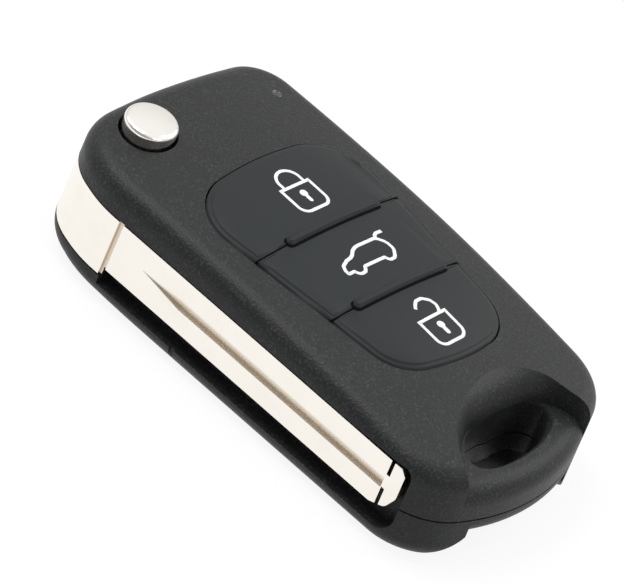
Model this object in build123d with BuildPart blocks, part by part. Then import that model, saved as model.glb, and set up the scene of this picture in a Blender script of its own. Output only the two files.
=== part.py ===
"""Flip remote key: folding blade, release button and three remote keys in a two-part shell.

Frame: millimetres, Z up, keypad on top, key-ring loop at +X, blade pivot at -X, blade slot on -Y.
The origin is the middle of the folded key's outline, on the surface that it rests on. The
numbers below are from a drawing datum that lies CENTRE away from it.
"""
import math
import os

from build123d import *

os.makedirs("parts", exist_ok=True)

# Case
HALF_WIDTH = 20.5
NEAR, FAR = -HALF_WIDTH, HALF_WIDTH     # blade side and far side
TOP = 20.2                      # crown peak above the rest
PEAK_X = -24.6                  # crown peak along the key
CROWN_ALONG = 490.0             # crown radius along X
CROWN_ACROSS = 110.0            # crown radius across Y
PARTING = 7.45                  # height of the seam between the shells
WALL = 1.8
SEAM = 0.25                     # open joint seen round the outside
TOP_EDGE = 3.2
FOOT_EDGE = 3.0
FLOOR = 1.6
CENTRE = (-0.235, -0.493)        # from the drawing datum to the middle of the case
# Plan corners: x, y, corner radius
OUTLINE = [
    (-28.4, NEAR, 18.0), (35.1, NEAR, 9.8), (42.3, 0.2, 34.0), (31.9, FAR + 0.25, 10.4),
    (0.0, FAR + 1.1, 400.0), (-37.3, FAR + 0.3, 7.0), (-38.75, -2.5, 80.0), (-39.2, NEAR + 3.7, 10.0),
]
# Pivot, head and blade
PIVOT = (-32.1, NEAR + 11.2)
PIN = (-26.8, NEAR + 2.5)
HEAD_RADIUS = 6.6
HEAD_BOTTOM, HEAD_TOP = 4.25, 13.65
SEAM_X = -24.2
BLADE_BOTTOM = 5.6
BLADE_THICK = 2.35
BLADE_TIP = 30.9
TANG = (-29.5, 0.6, 6.6, 12.6)    # x from, depth from, z from, z to
NOTCH = (28.1, 28.7, 8.9, 11.15)  # x from, x to, neck from, neck to
RUN = 0.3                       # room round the turning head
SLOT_FLOOR = 2.7
SLOT_END = 31.6
SLOT_DEPTH = 2.8
CEILING = HEAD_TOP + 0.2
POCKET_FLOOR = HEAD_BOTTOM - 0.25
# Release button
BUTTON_RADIUS = 3.9
BUTTON_TOP = 22.0
BUTTON_TRAVEL = 1.8
DOME_RADIUS = 24.0
DOME_DROP = DOME_RADIUS - math.sqrt(DOME_RADIUS ** 2 - BUTTON_RADIUS ** 2)
FLANGE_RADIUS = 5.1
FLANGE_BOTTOM, FLANGE_TOP = 12.3, 13.75
BOSS_TOP = 8.2
BOSS_RADIUS = 3.0
BORE_FLOOR = 8.6
SKIRT_BOTTOM = 10.8
# Keypad
# Key field corners: x, y, corner radius
PAD = [
    (-19.4, FAR - 3.5, 8.5), (19.6, FAR - 7.9, 8.2), (21.3, 0.5, 30.0), (19.2, NEAR + 9.45, 7.0),
    (-3.0, NEAR + 6.3, 120.0), (-19.4, NEAR + 4.8, 8.0), (-20.6, 0.2, 80.0),
]
SLITS = (-6.05, 7.15)
RIDGE_WIDTH = 1.3
RIDGE_ENDS = (NEAR + 12.0, FAR - 9.7)
KEY_PROUD = 0.5
KEY_GAP = 0.15
# Electronics
FRAME_BOTTOM, FRAME_TOP = 13.4, 14.2
BOARD_BOTTOM, BOARD_TOP = 10.6, 11.6
SWITCH_TOP = 13.2
STEM_BOTTOM = 13.9
TRAY_BOTTOM, TRAY_TOP = 6.1, 6.9
LED = (-29.4, FAR - 5.2)
SWITCHES = {"lock_switch": (-13.0, 1.0), "boot_switch": (0.5, 1.0), "unlock_switch": (13.4, 1.0)}
SCREWS = ((19.4, NEAR + 7.5), (19.4, FAR - 5.7))
POSTS = ((-16.5, FAR - 3.9), (10.5, FAR - 4.9), (3.0, NEAR + 5.0), (22.7, -1.0))
# Coin cell and its cover
CELL = (5.5, 0.5)
CELL_RADIUS = 10.0
CELL_BOTTOM, CELL_TOP = 1.8, 5.0
COVER = (-9.5, 22.3, NEAR + 5.1, FAR - 3.5)       # x from, x to, y from, y to
COVER_THICK = 1.5
LEDGE_TOP = 2.8
# Key-ring loop
BAR_BOTTOM, BAR_TOP = 4.2, 12.8
HOLE = [
    (27.9, 1.5), (28.05, 6.0), (28.9, 8.8), (30.5, 9.8), (32.0, 8.9), (33.2, 7.1), (34.4, 4.2), (35.1, 0.5),
    (35.3, -3.4), (34.9, -6.5), (34.0, -8.0), (32.6, -8.2), (30.9, -7.4), (29.3, -5.7), (28.2, -2.6),
]
HOLE_RIM = [
    (27.9, 1.5), (28.05, 6.0), (28.9, 8.9), (30.6, 10.3), (32.5, 9.6), (33.9, 7.6), (35.2, 4.5), (36.0, 0.6),
    (36.2, -3.5), (35.7, -7.0), (34.5, -8.9), (32.6, -9.1), (30.7, -7.8), (29.2, -5.9), (28.2, -2.6),
]
SCOOP_FLOOR = [
    (28.4, -3.8), (28.1, 1.5), (28.3, 6.5), (29.2, 9.9), (31.4, 11.6), (34.6, 12.8), (39.0, 15.4),
    (46.0, 17.0), (48.0, 0.0), (46.0, -15.0), (38.9, -14.6), (35.3, -13.1), (32.4, -10.8), (30.0, -7.6),
]
UNDER_FLOOR = [
    (28.4, -3.8), (28.1, 1.5), (28.3, 5.6), (29.2, 8.2), (31.4, 9.4), (34.6, 10.2), (39.0, 11.8),
    (46.0, 13.0), (48.0, 0.0), (46.0, -12.0), (38.9, -11.6), (35.3, -10.6), (32.4, -9.0), (30.0, -6.8),
]
SCOOP_RIM = [
    (26.9, -4.4), (26.1, 1.5), (26.5, 7.0), (28.2, 10.3), (31.6, 11.7), (35.0, 13.2), (39.4, 15.6),
    (46.0, 17.2), (48.0, 0.0), (46.0, -18.0), (38.8, -17.4), (34.2, -14.6), (30.8, -11.6), (28.4, -8.2),
]
LOOP_KEEP = [
    (24.7, 1.5), (25.1, 7.4), (27.2, 11.6), (31.2, 13.5), (34.4, 14.8), (44.0, 20.0), (52.0, 0.0),
    (44.0, -21.0), (38.0, -18.6), (33.4, -16.0), (29.4, -12.6), (26.8, -8.6), (25.3, -4.2),
]


def crown_height(x, y, lift=0.0):
    """Height of the roof above the rest at a point in plan."""
    along = math.sqrt((CROWN_ALONG + lift) ** 2 - (x - PEAK_X) ** 2) - CROWN_ALONG
    return TOP + along - y * y / (2 * (CROWN_ACROSS + lift))


def crown(lift, low=-8.0):
    """Solid under the double-curved roof, moved outwards by lift."""
    reach = 30.0
    radius = CROWN_ACROSS + lift
    fall = reach / math.sqrt(radius ** 2 - reach ** 2)
    arch = [
        (y, TOP + lift - radius + math.sqrt(radius ** 2 - y * y)) for y in (-reach, -20, -10, 0, 10, 20, reach)
    ]
    axis = Axis((PEAK_X, 0, TOP - CROWN_ALONG), (0, 1, 0))
    with BuildPart() as sector:
        with BuildSketch(Plane.YZ.offset(PEAK_X)):
            with BuildLine():
                Spline(*arch, tangents=((1, fall), (1, -fall)))
                Polyline(arch[-1], (reach, low), (-reach, low), arch[0])
            make_face()
        revolve(axis=axis, revolution_arc=13)
    return sector.part.rotate(axis, -3.5)


def arch(x, lift, low=-8.0):
    """Solid under a plain cylinder that touches the roof along x, moved outwards by lift."""
    reach = 30.0
    radius = CROWN_ACROSS + lift
    top = crown_height(x, 0) + lift
    fall = radius - math.sqrt(radius ** 2 - reach ** 2)
    tilt = math.degrees(math.asin((x - PEAK_X) / CROWN_ALONG))
    with BuildPart() as bar:
        with BuildSketch(Plane.YZ.offset(x)):
            with BuildLine():
                ThreePointArc((-reach, top - fall), (0, top), (reach, top - fall))
                Polyline((reach, top - fall), (reach, low), (-reach, low), (-reach, top - fall))
            make_face()
        extrude(amount=70, both=True)
    return bar.part.rotate(Axis((x, 0, top), (0, 1, 0)), tilt)


def rounded(corners, grow=0.0):
    """Face inside straight sides with rounded corners, moved outwards by grow."""
    with BuildSketch() as plan:
        with BuildLine():
            Polyline(*[(x, y) for x, y, r in corners], close=True)
        make_face()
        for x, y, r in corners:
            if r:
                fillet(plan.vertices().sort_by_distance((x, y, 0))[0], r)
        if grow:
            offset(amount=grow, kind=Kind.INTERSECTION)
    return plan.sketch


def closed_curve(points, grow=0.0):
    """Face inside a smooth closed curve through the points."""
    with BuildSketch() as plan:
        with BuildLine():
            Spline(*points, periodic=True)
        make_face()
        if grow:
            offset(amount=grow, kind=Kind.INTERSECTION)
    return plan.sketch


def outward(points):
    """Points with the direction from their middle."""
    mx, my = sum(x for x, y in points) / len(points), sum(y for x, y in points) / len(points)
    reach = [math.hypot(x - mx, y - my) for x, y in points]
    return [(x, y, (x - mx) / r, (y - my) / r) for (x, y), r in zip(points, reach)]


def box(x0, x1, y0, y1, z0, z1):
    """Plain block between two corners."""
    with BuildPart() as block:
        with Locations(((x0 + x1) / 2, (y0 + y1) / 2, (z0 + z1) / 2)):
            Box(x1 - x0, y1 - y0, z1 - z0)
    return block.part


def column(x, y, radius, z0, z1):
    """Upright round column."""
    with BuildPart() as post:
        with Locations((x, y, (z0 + z1) / 2)):
            Cylinder(radius, z1 - z0)
    return post.part


def tube(x, y, outer, inner, z0, z1):
    """Upright round tube."""
    with BuildPart() as ring:
        add(column(x, y, outer, z0, z1))
        add(column(x, y, inner, z0, z1), mode=Mode.SUBTRACT)
    return ring.part


def prism(sketch, z0, z1):
    """Sketch drawn at the origin, raised from z0 to z1."""
    with BuildPart() as solid:
        with BuildSketch(Plane.XY.offset(z0)):
            add(sketch)
        extrude(amount=z1 - z0)
    return solid.part


def notch(x, y, radius, end, z0, z1):
    """Upright slot from a post to beyond an edge at y = end."""
    with BuildSketch(Plane.XY.offset(z0)) as plan:
        with Locations((x, (y + end) / 2)):
            SlotCenterToCenter(abs(end - y), 2 * radius, rotation=90)
    with BuildPart() as cut:
        add(plan.sketch)
        extrude(amount=z1 - z0)
    return cut.part


def slab(x0, x1, y0, y1, z0, z1, radius):
    """Block with upright edges rounded."""
    with BuildPart() as plate:
        with BuildSketch(Plane.XY.offset(z0)):
            with Locations(((x0 + x1) / 2, (y0 + y1) / 2)):
                RectangleRounded(x1 - x0, y1 - y0, radius)
        extrude(amount=z1 - z0)
    return plate.part


def save(part, name):
    """Label one piece, move it to the shared origin and write it."""
    shift = Location((CENTRE[0], CENTRE[1], 0))
    solids = [solid.moved(shift) for solid in part.solids()]
    result = solids[0] if len(solids) == 1 else Compound(children=solids)
    result.label = name
    export_step(result, f"parts/{name}.step")
    print(name, len(solids), round(result.volume, 2), result.is_valid)


px, py = PIVOT
case_plan = rounded(OUTLINE)
inner_plan = rounded(OUTLINE, -WALL)

# Case body before it is split and hollowed
with BuildPart() as case:
    add(prism(case_plan, 0, TOP + 4))
    add(crown(0.0), mode=Mode.INTERSECT)
    with BuildSketch(Plane.XZ):
        with BuildLine():
            ThreePointArc((-14, 0), (-28, 0.42), (-42, 1.7))
            Polyline((-42, 1.7), (-42, -3), (-14, -3), (-14, 0))
        make_face()
    extrude(amount=30, both=True, mode=Mode.SUBTRACT)
    fillet(case.faces().sort_by(Axis.Z)[-1].edges(), TOP_EDGE)
    fillet(case.edges().filter_by(lambda e: e.bounding_box().max.Z < 2.2), FOOT_EDGE)

# Scoops above and below the key-ring bar, flared towards their rims


def flared(inner, outer, levels):
    """Loft from one outline towards another through (height, share) levels."""
    with BuildPart() as cut:
        for height, share in levels:
            ring = [
                (x0 + (x1 - x0) * share, y0 + (y1 - y0) * share) for (x0, y0), (x1, y1) in zip(inner, outer)
            ]
            with BuildSketch(Plane.XY.offset(height)):
                with BuildLine():
                    Spline(*ring, periodic=True)
                make_face()
        loft()
    return cut.part


upper_scoop = flared(
    SCOOP_FLOOR, SCOOP_RIM, [(BAR_TOP, 0), (14.0, 0.12), (15.2, 0.36), (16.2, 0.7), (17.0, 1.15), (18.2, 2.3)]
)
lower_scoop = flared(
    UNDER_FLOOR, SCOOP_RIM, [(BAR_BOTTOM, 0), (3.4, 0.15), (2.4, 0.45), (1.2, 0.95), (-0.6, 1.9)]
)
ring_hole = flared(HOLE, HOLE_RIM, [(11.4, 0), (12.0, 0.12), (12.5, 0.42), (12.9, 1.0), (13.3, 1.8)])
bar_middle = (BAR_BOTTOM + BAR_TOP) / 2
with BuildPart() as loop:
    add(prism(case_plan, BAR_BOTTOM, BAR_TOP))
    fillet(loop.faces().sort_by(Axis.Z)[-1].edges(), 2.9)
    fillet(loop.faces().sort_by(Axis.Z)[0].edges(), 2.4)
with BuildPart() as shaped:
    add(case.part)
    add(upper_scoop, mode=Mode.SUBTRACT)
    add(lower_scoop, mode=Mode.SUBTRACT)
    add(prism(closed_curve(SCOOP_FLOOR), bar_middle, BAR_TOP), mode=Mode.SUBTRACT)
    add(prism(closed_curve(UNDER_FLOOR), BAR_BOTTOM, bar_middle), mode=Mode.SUBTRACT)
    add(loop.part)
    add(ring_hole, mode=Mode.SUBTRACT)
    add(prism(closed_curve(HOLE), -2, 12), mode=Mode.SUBTRACT)
body = shaped.part
print("body", body.is_valid, len(body.solids()), len(body.faces()))

# Plan of the folding head, and of the room that it sweeps through half a turn
with BuildSketch() as head_plan:
    with Locations(PIVOT):
        Circle(HEAD_RADIUS)
    with BuildLine():
        Polyline(
            (SEAM_X, NEAR - 3.5), (SEAM_X, NEAR + 2.5), (px + HEAD_RADIUS - 0.06, py + 0.9), PIVOT,
            (-45, py), (-45, NEAR - 3.5), close=True,
        )
    make_face()
    add(case_plan, mode=Mode.INTERSECT)
with BuildSketch() as head_room:
    add(head_plan.sketch)
    offset(amount=RUN, kind=Kind.INTERSECTION)
with BuildSketch() as pocket_plan:
    add(head_room.sketch)
    add(head_room.sketch.rotate(Axis((px, py, 0), (0, 0, 1)), 180))
    with BuildLine():
        sweep_radius = math.hypot(SEAM_X - px, NEAR - py) + RUN
        start, end = math.radians(125), math.radians(305)
        middle = (start + end) / 2
        reach = [
            (px + sweep_radius * math.cos(a), py + sweep_radius * math.sin(a)) for a in (start, middle, end)
        ]
        ThreePointArc(*reach)
        Polyline(reach[2], PIVOT, reach[0])
    make_face()

# Rooms inside the shells
with BuildSketch() as chamber_plan:
    add(inner_plan)
    with Locations((0, NEAR - 15.7)):
        Rectangle(120, 40, mode=Mode.SUBTRACT)
    with Locations((-42.3, py - 6.5)):
        Rectangle(40, 40, mode=Mode.SUBTRACT)
    with BuildLine():
        Polyline(*LOOP_KEEP, close=True)
    make_face(mode=Mode.SUBTRACT)
with BuildPart() as slot:
    add(box(SEAM_X - 0.1, SLOT_END, NEAR - 3.5, NEAR + SLOT_DEPTH, SLOT_FLOOR, CEILING))
    fillet(slot.edges().filter_by(Axis.Y).sort_by(Axis.X)[-2:].sort_by(Axis.Z)[-1], 1.6)
    fillet(slot.edges().filter_by(Axis.Y).sort_by(Axis.Z)[:2].sort_by(Axis.X)[-1], 2.5)
pocket = prism(pocket_plan.sketch, POCKET_FLOOR, CEILING)
inner_roof = arch(-19.0, -WALL).intersect(arch(19.0, -WALL))

# Upper shell
with BuildPart() as roof_room:
    add(prism(chamber_plan.sketch, PARTING, TOP + 2))
    add(prism(rounded(PAD, 1.3), FRAME_BOTTOM - 0.1, TOP + 2))
    add(inner_roof, mode=Mode.INTERSECT)
with BuildPart() as head_cavity:
    with BuildSketch(Plane.XY.offset(CEILING)):
        add(pocket_plan.sketch)
        add(inner_plan, mode=Mode.INTERSECT)
    extrude(amount=TOP)
    add(inner_roof, mode=Mode.INTERSECT)
    add(column(px, py, BUTTON_RADIUS + 2.2, CEILING, TOP + 4), mode=Mode.SUBTRACT)
with BuildPart() as upper_shell:
    add(body)
    add(box(-60, 60, -40, 40, -5, PARTING), mode=Mode.SUBTRACT)
    add(roof_room.part, mode=Mode.SUBTRACT)
    add(slot.part, mode=Mode.SUBTRACT)
    add(pocket, mode=Mode.SUBTRACT)
    add(head_cavity.part, mode=Mode.SUBTRACT)
    add(prism(rounded(PAD, KEY_GAP), 13, TOP + 4), mode=Mode.SUBTRACT)
    add(column(px, py, BUTTON_RADIUS + 0.35, 10, TOP + 4), mode=Mode.SUBTRACT)
    with BuildPart(mode=Mode.PRIVATE) as supports:
        for x, y in SCREWS:
            add(column(x, y, 2.2, 4.2, TOP))
        for x, y in POSTS:
            add(column(x, y, 0.7, FRAME_TOP, TOP))
        add(crown(-0.8), mode=Mode.INTERSECT)
    add(supports.part)
    for x, y in SCREWS:
        add(column(x, y, 0.85, 4, 10.6), mode=Mode.SUBTRACT)
    add(column(LED[0], LED[1], 0.8, 10, TOP + 4), mode=Mode.SUBTRACT)
save(upper_shell.part, "upper_shell")

# Lower shell, with the lip that locates the upper one
cx, cy = CELL
lip_inner = rounded(OUTLINE, -WALL - 0.85)
with BuildPart() as lip:
    for outer, low, high in ((0.1 - WALL, PARTING - 1.2, PARTING), (-WALL - 0.05, PARTING, PARTING + 1.5)):
        with BuildPart(mode=Mode.PRIVATE) as step:
            add(prism(rounded(OUTLINE, outer), low, high))
            add(prism(lip_inner, low - 1, high + 1), mode=Mode.SUBTRACT)
        add(step.part)
    add(box(-60, 60, -40, NEAR + 4.6, 0, 20), mode=Mode.SUBTRACT)
    add(box(-60, -21.6, -40, py + 13.9, 0, 20), mode=Mode.SUBTRACT)
    add(box(23, 60, -40, 40, 0, 20), mode=Mode.SUBTRACT)
with BuildPart() as floor_room:
    add(prism(chamber_plan.sketch, 3.0, PARTING + 1))
    with BuildPart(mode=Mode.PRIVATE) as deep:
        add(prism(chamber_plan.sketch, FLOOR, 3.2))
        add(box(-60, -20, -40, 40, 0, 8), mode=Mode.SUBTRACT)
        add(slab(COVER[0] - 1.2, COVER[1] + 1.2, COVER[2] - 1.2, COVER[3] + 1.2, 0, LEDGE_TOP, 2.0),
            mode=Mode.SUBTRACT)
    add(deep.part)
with BuildPart() as seam:
    add(prism(rounded(OUTLINE, 0.5), PARTING - SEAM, PARTING))
    add(prism(rounded(OUTLINE, -0.35), PARTING - 1, PARTING + 1), mode=Mode.SUBTRACT)
    add(prism(closed_curve([(x + 0.35 * dx, y + 0.35 * dy) for x, y, dx, dy in outward(HOLE)]),
              PARTING - SEAM, PARTING))
with BuildPart() as lower_shell:
    add(body)
    add(box(-60, 60, -40, 40, PARTING, TOP + 5), mode=Mode.SUBTRACT)
    add(floor_room.part, mode=Mode.SUBTRACT)
    add(slot.part, mode=Mode.SUBTRACT)
    add(pocket, mode=Mode.SUBTRACT)
    add(seam.part, mode=Mode.SUBTRACT)
    add(lip.part)
    add(column(px, py, BOSS_RADIUS, POCKET_FLOOR - 0.2, BOSS_TOP))
    for x, y in SCREWS:
        add(column(x, y, 2.6, 2.0, 4.2))
    add(slab(COVER[0], COVER[1], COVER[2], COVER[3], -1, COVER_THICK, 2.0), mode=Mode.SUBTRACT)
    add(column(cx, cy, CELL_RADIUS + 1.2, 0, 4), mode=Mode.SUBTRACT)
    for x, y in SCREWS:
        add(column(x, y, 1.0, 1, 5), mode=Mode.SUBTRACT)
        add(column(x, y, 1.8, 1, 2.7), mode=Mode.SUBTRACT)
    add(box(-10.0, -9.2, NEAR - 1.5, NEAR + 0.4, -1, SLOT_FLOOR + 1), mode=Mode.SUBTRACT)
save(lower_shell.part, "lower_shell")

# Battery cover: plate, skirt that centres it in the opening, ring that carries the cell
with BuildPart() as battery_cover:
    add(slab(COVER[0] + 0.1, COVER[1] - 0.1, COVER[2] + 0.1, COVER[3] - 0.1, 0, COVER_THICK, 1.9))
    chamfer(battery_cover.faces().sort_by(Axis.Z)[0].edges(), 0.2)
    add(tube(cx, cy, CELL_RADIUS + 1.05, CELL_RADIUS + 0.25, COVER_THICK, 2.6))
    add(tube(cx, cy, 7.6, 6.6, COVER_THICK, CELL_BOTTOM))
save(battery_cover.part, "battery_cover")

# Coin cell: can, stepped sealing edge and smaller negative cap on the upper side
with BuildPart() as coin_cell:
    with BuildSketch(Plane.XZ):
        with BuildLine():
            Polyline(
                (0, CELL_BOTTOM), (CELL_RADIUS - 0.4, CELL_BOTTOM), (CELL_RADIUS, CELL_BOTTOM + 0.4),
                (CELL_RADIUS, CELL_TOP - 0.7), (CELL_RADIUS - 0.35, CELL_TOP - 0.35), (8.8, CELL_TOP - 0.35),
                (8.5, CELL_TOP), (0, CELL_TOP), close=True,
            )
        make_face()
    revolve(axis=Axis.Z)
save(coin_cell.part.moved(Location((cx, cy, 0))), "coin_cell")

# Tray that holds the cell from above and the board from below
with BuildPart() as electronics_tray:
    add(slab(-21.2, 23.3, NEAR + 5.0, FAR - 3.5, TRAY_BOTTOM, BOARD_BOTTOM, 3.0))
    add(slab(-20.3, 22.4, NEAR + 5.9, FAR - 4.4, TRAY_TOP, BOARD_BOTTOM + 1, 2.1), mode=Mode.SUBTRACT)
    add(tube(cx, cy, CELL_RADIUS + 1.05, CELL_RADIUS + 0.15, 2.75, TRAY_BOTTOM))
    for x, y, foot in ((-18, NEAR + 7.5, FLOOR), (-18, FAR - 6, FLOOR), (20.6, -3, LEDGE_TOP), (20.6, 5, LEDGE_TOP)):
        add(column(x, y, 1.2, foot, TRAY_BOTTOM))
    for x, y in SCREWS:
        add(notch(x, y, 2.5, math.copysign(25, y), 0, 20), mode=Mode.SUBTRACT)
    add(box(cx + CELL_RADIUS - 0.2, cx + CELL_RADIUS + 1.2, cy - 2.2, cy + 2.2, 2, TRAY_BOTTOM),
        mode=Mode.SUBTRACT)
    add(box(cx + CELL_RADIUS - 0.1, cx + CELL_RADIUS + 0.4, cy - 2.2, cy + 2.2, 5, 8), mode=Mode.SUBTRACT)
    add(box(-1.1, -0.65, cy - 2.1, cy + 2.1, 5, 8), mode=Mode.SUBTRACT)
save(electronics_tray.part, "electronics_tray")

# Sprung strip on the cell's negative cap, and strip against the side of its can
with BuildPart() as battery_contact_negative:
    with BuildSketch(Plane.XZ.offset(-cy)):
        with BuildLine():
            Polyline(
                (-1.0, 6.1), (-1.0, BOARD_BOTTOM), (-0.75, BOARD_BOTTOM), (-0.75, 6.1), (3.1, 6.1),
                (7.5, 5.25), (9.2, 5.65), (9.25, 5.4), (7.5, CELL_TOP), (3.0, 5.85), (-1.0, 5.85), close=True,
            )
        make_face()
    extrude(amount=1.75, both=True)
save(battery_contact_negative.part, "battery_contact_negative")
save(box(cx + CELL_RADIUS, cx + CELL_RADIUS + 0.3, cy - 2, cy + 2, 2.9, BOARD_BOTTOM),
     "battery_contact_positive")

# Circuit board with the arm that carries the status light
with BuildPart() as circuit_board:
    board = [
        (-33.2, FAR - 3.4, 2.6), (23.5, FAR - 3.4, 3.0), (23.5, NEAR + 4.9, 3.0), (-21.3, NEAR + 4.9, 3.0),
        (-21.3, py + 16.8, 1.0), (-33.2, py + 16.8, 2.6),
    ]
    add(prism(rounded(board), BOARD_BOTTOM, BOARD_TOP))
    for x, y in SCREWS:
        add(notch(x, y, 2.6, math.copysign(25, y), 0, 20), mode=Mode.SUBTRACT)
save(circuit_board.part, "circuit_board")
for name, (x, y) in SWITCHES.items():
    with BuildPart() as switch:
        add(box(x - 2.6, x + 2.6, y - 2.6, y + 2.6, BOARD_TOP, SWITCH_TOP - 0.6))
        chamfer(switch.edges().filter_by(Axis.Z), 0.5)
        add(column(x, y, 1.4, SWITCH_TOP - 0.6, SWITCH_TOP))
    save(switch.part, name)
for name, x, y, wide, deep_, tall in (
    ("controller_chip", -13.5, -8.5, 7.0, 7.0, 1.2), ("radio_chip", 1.0, -8.5, 5.0, 5.0, 0.9),
    ("crystal", 8.0, -8.5, 3.2, 2.5, 0.8), ("status_led", LED[0], LED[1], 2.0, 1.25, 0.7),
):
    with BuildPart() as chip:
        add(box(x - wide / 2, x + wide / 2, y - deep_ / 2, y + deep_ / 2, BOARD_TOP, BOARD_TOP + tall))
        chamfer(chip.faces().sort_by(Axis.Z)[-1].edges(), 0.15)
    save(chip.part, name)
with BuildPart() as transponder:
    add(box(-35.0, -23.0, py + 17.3, FAR - 6.5, 3.0, 6.0))
    chamfer(transponder.edges().filter_by(Axis.Z), 0.8)
save(transponder.part, "transponder")

# Light guide from the status light to the dimple in the roof
led_top = crown_height(*LED)
with BuildPart() as led_window:
    add(column(LED[0], LED[1], 0.8, BOARD_TOP + 0.9, led_top - 0.1))
    add(column(LED[0], LED[1], 1.5, 15.4, 16.2))
save(led_window.part, "led_window")

# Case screws from below, hidden by the battery cover
with BuildPart() as case_screws:
    for x, y in SCREWS:
        add(column(x, y, 1.65, 1.6, 2.7))
        add(column(x, y, 0.8, 2.7, 10.2))
        add(box(x - 1.0, x + 1.0, y - 0.2, y + 0.2, 1.5, 2.1), mode=Mode.SUBTRACT)
        add(box(x - 0.2, x + 0.2, y - 1.0, y + 1.0, 1.5, 2.1), mode=Mode.SUBTRACT)
save(case_screws.part, "case_screws")

# Blade head
with BuildPart() as blade_head:
    add(prism(head_plan.sketch, HEAD_BOTTOM, HEAD_TOP))
    add(column(px, py, FLANGE_RADIUS + 0.1, BORE_FLOOR, HEAD_TOP + 1), mode=Mode.SUBTRACT)
    add(column(px, py, BOSS_RADIUS + 0.08, 0, HEAD_TOP), mode=Mode.SUBTRACT)
    for turn in (-60, -120):
        keyway = box(px, px + 6.5, py - 1.0, py + 1.0, BORE_FLOOR, HEAD_TOP + 1)
        add(keyway.rotate(Axis((px, py, 0), (0, 0, 1)), turn), mode=Mode.SUBTRACT)
    add(box(TANG[0], SEAM_X + 1, NEAR + TANG[1], NEAR + BLADE_THICK, *TANG[2:]), mode=Mode.SUBTRACT)
    add(column(*PIN, 0.8, 5.0, HEAD_TOP + 1), mode=Mode.SUBTRACT)
    add(box(SEAM_X - 0.4, SEAM_X + 1, NEAR - 1.5, NEAR + 0.4, 0, 20), mode=Mode.SUBTRACT)
save(blade_head.part, "blade_head")

# Key blade: flat bar with a pointed groove on both faces, stop notches near the tip and a tang
blade_side = [
    (SEAM_X, BLADE_BOTTOM, 0), (BLADE_TIP - 3.8, BLADE_BOTTOM, 1.5), (BLADE_TIP - 1.2, BLADE_BOTTOM + 0.9, 1.5),
    (BLADE_TIP, BLADE_BOTTOM + 3.2, 1.5), (BLADE_TIP, HEAD_TOP - 0.9, 0), (BLADE_TIP - 0.9, HEAD_TOP, 0),
    (SEAM_X, HEAD_TOP, 0),
]


def groove(face, way):
    """Groove that starts in a point, with a steep lower side and a shallow upper one."""
    with BuildPart() as cut:
        for x, deep, low, high in ((-18.4, 0.02, 9.9, 10.0), (-11.0, 0.5, 8.75, 10.6), (28.0, 0.5, 8.75, 10.6)):
            with BuildSketch(Plane.YZ.offset(x)):
                with BuildLine():
                    Polyline(
                        (face - 0.5 * way, low), (face, low), (face + deep * way, low + 0.08 * (high - low)),
                        (face, high), (face - 0.5 * way, high), close=True,
                    )
                make_face()
        loft(ruled=True)
    return cut.part


with BuildPart() as key_blade:
    with BuildSketch(Plane.XZ.offset(HALF_WIDTH)):
        add(rounded(blade_side))
    extrude(amount=-BLADE_THICK)
    add(box(SEAM_X - 1, SEAM_X + 0.45, NEAR - 1.5, NEAR + 0.4, 0, 20), mode=Mode.SUBTRACT)
    add(groove(NEAR, 1), mode=Mode.SUBTRACT)
    add(groove(NEAR + BLADE_THICK, -1), mode=Mode.SUBTRACT)
    add(box(NOTCH[0], NOTCH[1], NEAR - 1, NEAR + 4, NOTCH[3], 20), mode=Mode.SUBTRACT)
    add(box(NOTCH[0], NOTCH[1], NEAR - 1, NEAR + 4, 0, NOTCH[2]), mode=Mode.SUBTRACT)
    add(box(TANG[0], SEAM_X, NEAR + TANG[1], NEAR + BLADE_THICK, *TANG[2:]))
    add(column(*PIN, 0.8, 0, 20), mode=Mode.SUBTRACT)
save(key_blade.part, "key_blade")
with BuildPart() as blade_pin:
    add(column(*PIN, 0.8, 5.0, HEAD_TOP - 0.1))
    chamfer(blade_pin.edges().filter_by(GeomType.CIRCLE), 0.15)
save(blade_pin.part, "blade_pin")

# Release button: domed cap, hollow skirt, flange with two lugs that turn with the head
with BuildPart() as release_button:
    with BuildSketch(Plane.XZ):
        with BuildLine():
            RadiusArc((0, BUTTON_TOP), (BUTTON_RADIUS, BUTTON_TOP - DOME_DROP), DOME_RADIUS)
            Polyline(
                (BUTTON_RADIUS, BUTTON_TOP - DOME_DROP), (BUTTON_RADIUS, FLANGE_TOP), (FLANGE_RADIUS, FLANGE_TOP),
                (FLANGE_RADIUS, FLANGE_BOTTOM), (BUTTON_RADIUS, FLANGE_BOTTOM), (BUTTON_RADIUS, SKIRT_BOTTOM),
                (3.2, SKIRT_BOTTOM), (3.2, 20.2), (0, 20.2), (0, BUTTON_TOP),
            )
        make_face()
    revolve(axis=Axis.Z)
    fillet(release_button.edges().filter_by(lambda e: e.bounding_box().min.Z > 20.6), 0.7)
    for turn in (-60, -120):
        add(box(4.5, 6.4, -0.9, 0.9, FLANGE_BOTTOM, FLANGE_TOP).rotate(Axis.Z, turn))
save(release_button.part.moved(Location((px, py, 0))), "release_button")

# Spring between the boss and the button
coil = Helix(pitch=2.86, height=11.45, radius=2.5)
with BuildPart() as pivot_spring:
    with BuildLine():
        add(coil)
    with BuildSketch(Plane(origin=coil @ 0, z_dir=coil % 0)):
        RegularPolygon(0.27, 6)
    sweep()
save(pivot_spring.part.moved(Location((px, py, BOSS_TOP + 0.275))), "pivot_spring")

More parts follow.
